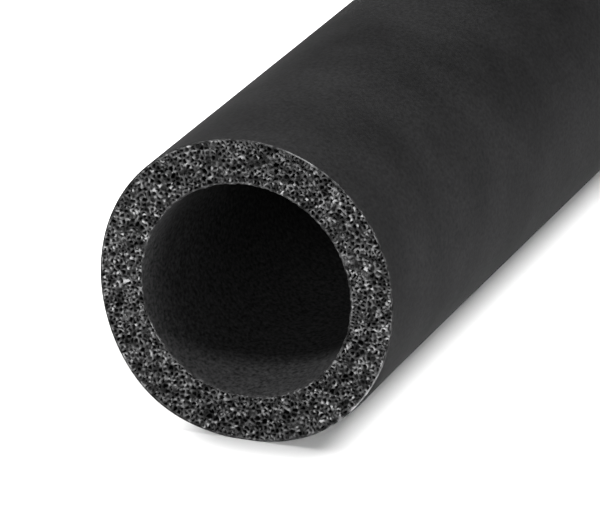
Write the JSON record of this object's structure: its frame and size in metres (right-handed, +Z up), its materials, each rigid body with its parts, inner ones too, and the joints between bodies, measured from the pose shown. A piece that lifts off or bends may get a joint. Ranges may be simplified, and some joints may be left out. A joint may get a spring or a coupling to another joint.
{
  "type": "pipe insulation lagging",
  "caption": "Straight round tube of black closed-cell foam rubber that slides over a pipe to insulate it, with a plain bore and square cut ends.",
  "frame": {"origin": "middle of the tube's length, on the line where it rests on the floor", "axes": "+Y along the tube's own axis, +X across it, +Z up; the cut end that the picture shows faces -Y"},
  "size_m": [0.0608, 1, 0.0609],
  "materials": {
    "foam_rubber": "matte black foam rubber with a smooth dull skin outside and in the bore, and open cut cells on both ends"
  },
  "bodies": {
    "root": {"foam_tube": "foam_rubber"}
  },
  "joints": []
}
